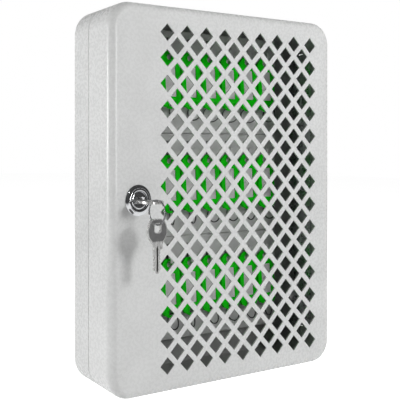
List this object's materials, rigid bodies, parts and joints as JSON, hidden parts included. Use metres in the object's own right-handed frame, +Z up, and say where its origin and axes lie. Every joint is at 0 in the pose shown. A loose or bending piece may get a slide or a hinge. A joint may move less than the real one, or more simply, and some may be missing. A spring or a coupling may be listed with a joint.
{
  "type": "key cabinet",
  "caption": "Wall-hung steel key cabinet: shallow case, perforated door on a piano hinge, cam lock with keys, hook boards with key tags.",
  "frame": {"origin": "centre of the case's back face, the face against the wall", "axes": "+Z up, +Y into the wall, the door faces -Y, the hinge is on the +X side"},
  "size_m": [0.2358, 0.0841, 0.3],
  "materials": {
    "case_paint": "fine-textured light grey powder coat",
    "door_paint": "fine-textured light grey powder coat",
    "board_paint": "light grey powder coat",
    "zinc_plate": "zinc plated steel",
    "lock_chrome": "polished chrome plate",
    "key_nickel": "nickel plated, lightly brushed",
    "bright_wire": "bright spring wire",
    "tag_green": "moulded green plastic"
  },
  "bodies": {
    "case": {"cabinet_body": "case_paint", "hinge_leaf_body": "zinc_plate", "hinge_pin": "zinc_plate", "hook_board_top": "board_paint", "hook_board_middle": "board_paint", "hook_board_bottom": "board_paint", "latch_strike": "zinc_plate"},
    "door": {"door": "door_paint", "hinge_leaf_door": "zinc_plate", "lock_housing": "lock_chrome", "lock_washer": "zinc_plate", "lock_nut": "zinc_plate"},
    "plug": {"lock_plug": "lock_chrome", "lock_cam": "zinc_plate", "cam_screw": "zinc_plate"},
    "key": {"key_in_lock": "key_nickel"},
    "ring": {"key_ring": "bright_wire"},
    "spare": {"spare_key": "key_nickel"},
    "tag_top_2": {"key_tag_top_2": "tag_green", "tag_ring_top_2": "bright_wire"},
    "tag_top_3": {"key_tag_top_3": "tag_green", "tag_ring_top_3": "bright_wire"},
    "tag_top_4": {"key_tag_top_4": "tag_green", "tag_ring_top_4": "bright_wire"},
    "tag_top_5": {"key_tag_top_5": "tag_green", "tag_ring_top_5": "bright_wire"},
    "tag_top_6": {"key_tag_top_6": "tag_green", "tag_ring_top_6": "bright_wire"},
    "tag_top_7": {"key_tag_top_7": "tag_green", "tag_ring_top_7": "bright_wire"},
    "tag_top_8": {"key_tag_top_8": "tag_green", "tag_ring_top_8": "bright_wire"},
    "tag_middle_2": {"key_tag_middle_2": "tag_green", "tag_ring_middle_2": "bright_wire"},
    "tag_middle_3": {"key_tag_middle_3": "tag_green", "tag_ring_middle_3": "bright_wire"},
    "tag_middle_4": {"key_tag_middle_4": "tag_green", "tag_ring_middle_4": "bright_wire"},
    "tag_middle_5": {"key_tag_middle_5": "tag_green", "tag_ring_middle_5": "bright_wire"},
    "tag_middle_6": {"key_tag_middle_6": "tag_green", "tag_ring_middle_6": "bright_wire"},
    "tag_middle_7": {"key_tag_middle_7": "tag_green", "tag_ring_middle_7": "bright_wire"},
    "tag_middle_8": {"key_tag_middle_8": "tag_green", "tag_ring_middle_8": "bright_wire"},
    "tag_bottom_2": {"key_tag_bottom_2": "tag_green", "tag_ring_bottom_2": "bright_wire"},
    "tag_bottom_3": {"key_tag_bottom_3": "tag_green", "tag_ring_bottom_3": "bright_wire"},
    "tag_bottom_4": {"key_tag_bottom_4": "tag_green", "tag_ring_bottom_4": "bright_wire"},
    "tag_bottom_5": {"key_tag_bottom_5": "tag_green", "tag_ring_bottom_5": "bright_wire"},
    "tag_bottom_6": {"key_tag_bottom_6": "tag_green", "tag_ring_bottom_6": "bright_wire"},
    "tag_bottom_7": {"key_tag_bottom_7": "tag_green", "tag_ring_bottom_7": "bright_wire"},
    "tag_bottom_8": {"key_tag_bottom_8": "tag_green", "tag_ring_bottom_8": "bright_wire"}
  },
  "joints": [
    {"name": "door_hinge", "type": "hinge", "parent": "case", "child": "door", "pos_m": [0.1169, -0.0221, 0], "axis": [0, 0, 1], "range_deg": [0, 120]},
    {"name": "key_turn", "type": "hinge", "parent": "door", "child": "plug", "pos_m": [-0.0926, -0.0525, 0], "axis": [0, 1, 0], "range_deg": [0, 90]},
    {"name": "key_pull", "type": "slide", "parent": "plug", "child": "key", "axis": [0, -1, 0], "range_m": [0, 0.03]},
    {"name": "key_ring_swing", "type": "hinge", "parent": "key", "child": "ring", "pos_m": [-0.0926, -0.0747, 0], "axis": [0, 1, 0], "range_deg": [-25, 25]},
    {"name": "spare_key_swing", "type": "hinge", "parent": "ring", "child": "spare", "pos_m": [-0.0926, -0.0747, -0.01585], "axis": [0, 1, 0], "range_deg": [-30, 30]},
    {"name": "tag_swing_top_2", "type": "hinge", "parent": "case", "child": "tag_top_2", "pos_m": [-0.0506, -0.0101, 0.119], "axis": [-1, 0, 0], "range_deg": [0, 12]},
    {"name": "tag_swing_top_3", "type": "hinge", "parent": "case", "child": "tag_top_3", "pos_m": [-0.0284, -0.0101, 0.119], "axis": [-1, 0, 0], "range_deg": [0, 12]},
    {"name": "tag_swing_top_4", "type": "hinge", "parent": "case", "child": "tag_top_4", "pos_m": [-0.0062, -0.0101, 0.119], "axis": [-1, 0, 0], "range_deg": [0, 12]},
    {"name": "tag_swing_top_5", "type": "hinge", "parent": "case", "child": "tag_top_5", "pos_m": [0.016, -0.0101, 0.119], "axis": [-1, 0, 0], "range_deg": [0, 12]},
    {"name": "tag_swing_top_6", "type": "hinge", "parent": "case", "child": "tag_top_6", "pos_m": [0.0382, -0.0101, 0.119], "axis": [-1, 0, 0], "range_deg": [0, 12]},
    {"name": "tag_swing_top_7", "type": "hinge", "parent": "case", "child": "tag_top_7", "pos_m": [0.0604, -0.0101, 0.119], "axis": [-1, 0, 0], "range_deg": [0, 12]},
    {"name": "tag_swing_top_8", "type": "hinge", "parent": "case", "child": "tag_top_8", "pos_m": [0.0826, -0.0101, 0.119], "axis": [-1, 0, 0], "range_deg": [0, 12]},
    {"name": "tag_swing_middle_2", "type": "hinge", "parent": "case", "child": "tag_middle_2", "pos_m": [-0.0506, -0.0101, 0.03], "axis": [-1, 0, 0], "range_deg": [0, 12]},
    {"name": "tag_swing_middle_3", "type": "hinge", "parent": "case", "child": "tag_middle_3", "pos_m": [-0.0284, -0.0101, 0.03], "axis": [-1, 0, 0], "range_deg": [0, 12]},
    {"name": "tag_swing_middle_4", "type": "hinge", "parent": "case", "child": "tag_middle_4", "pos_m": [-0.0062, -0.0101, 0.03], "axis": [-1, 0, 0], "range_deg": [0, 12]},
    {"name": "tag_swing_middle_5", "type": "hinge", "parent": "case", "child": "tag_middle_5", "pos_m": [0.016, -0.0101, 0.03], "axis": [-1, 0, 0], "range_deg": [0, 12]},
    {"name": "tag_swing_middle_6", "type": "hinge", "parent": "case", "child": "tag_middle_6", "pos_m": [0.0382, -0.0101, 0.03], "axis": [-1, 0, 0], "range_deg": [0, 12]},
    {"name": "tag_swing_middle_7", "type": "hinge", "parent": "case", "child": "tag_middle_7", "pos_m": [0.0604, -0.0101, 0.03], "axis": [-1, 0, 0], "range_deg": [0, 12]},
    {"name": "tag_swing_middle_8", "type": "hinge", "parent": "case", "child": "tag_middle_8", "pos_m": [0.0826, -0.0101, 0.03], "axis": [-1, 0, 0], "range_deg": [0, 12]},
    {"name": "tag_swing_bottom_2", "type": "hinge", "parent": "case", "child": "tag_bottom_2", "pos_m": [-0.0506, -0.0101, -0.059], "axis": [-1, 0, 0], "range_deg": [0, 12]},
    {"name": "tag_swing_bottom_3", "type": "hinge", "parent": "case", "child": "tag_bottom_3", "pos_m": [-0.0284, -0.0101, -0.059], "axis": [-1, 0, 0], "range_deg": [0, 12]},
    {"name": "tag_swing_bottom_4", "type": "hinge", "parent": "case", "child": "tag_bottom_4", "pos_m": [-0.0062, -0.0101, -0.059], "axis": [-1, 0, 0], "range_deg": [0, 12]},
    {"name": "tag_swing_bottom_5", "type": "hinge", "parent": "case", "child": "tag_bottom_5", "pos_m": [0.016, -0.0101, -0.059], "axis": [-1, 0, 0], "range_deg": [0, 12]},
    {"name": "tag_swing_bottom_6", "type": "hinge", "parent": "case", "child": "tag_bottom_6", "pos_m": [0.0382, -0.0101, -0.059], "axis": [-1, 0, 0], "range_deg": [0, 12]},
    {"name": "tag_swing_bottom_7", "type": "hinge", "parent": "case", "child": "tag_bottom_7", "pos_m": [0.0604, -0.0101, -0.059], "axis": [-1, 0, 0], "range_deg": [0, 12]},
    {"name": "tag_swing_bottom_8", "type": "hinge", "parent": "case", "child": "tag_bottom_8", "pos_m": [0.0826, -0.0101, -0.059], "axis": [-1, 0, 0], "range_deg": [0, 12]}
  ]
}
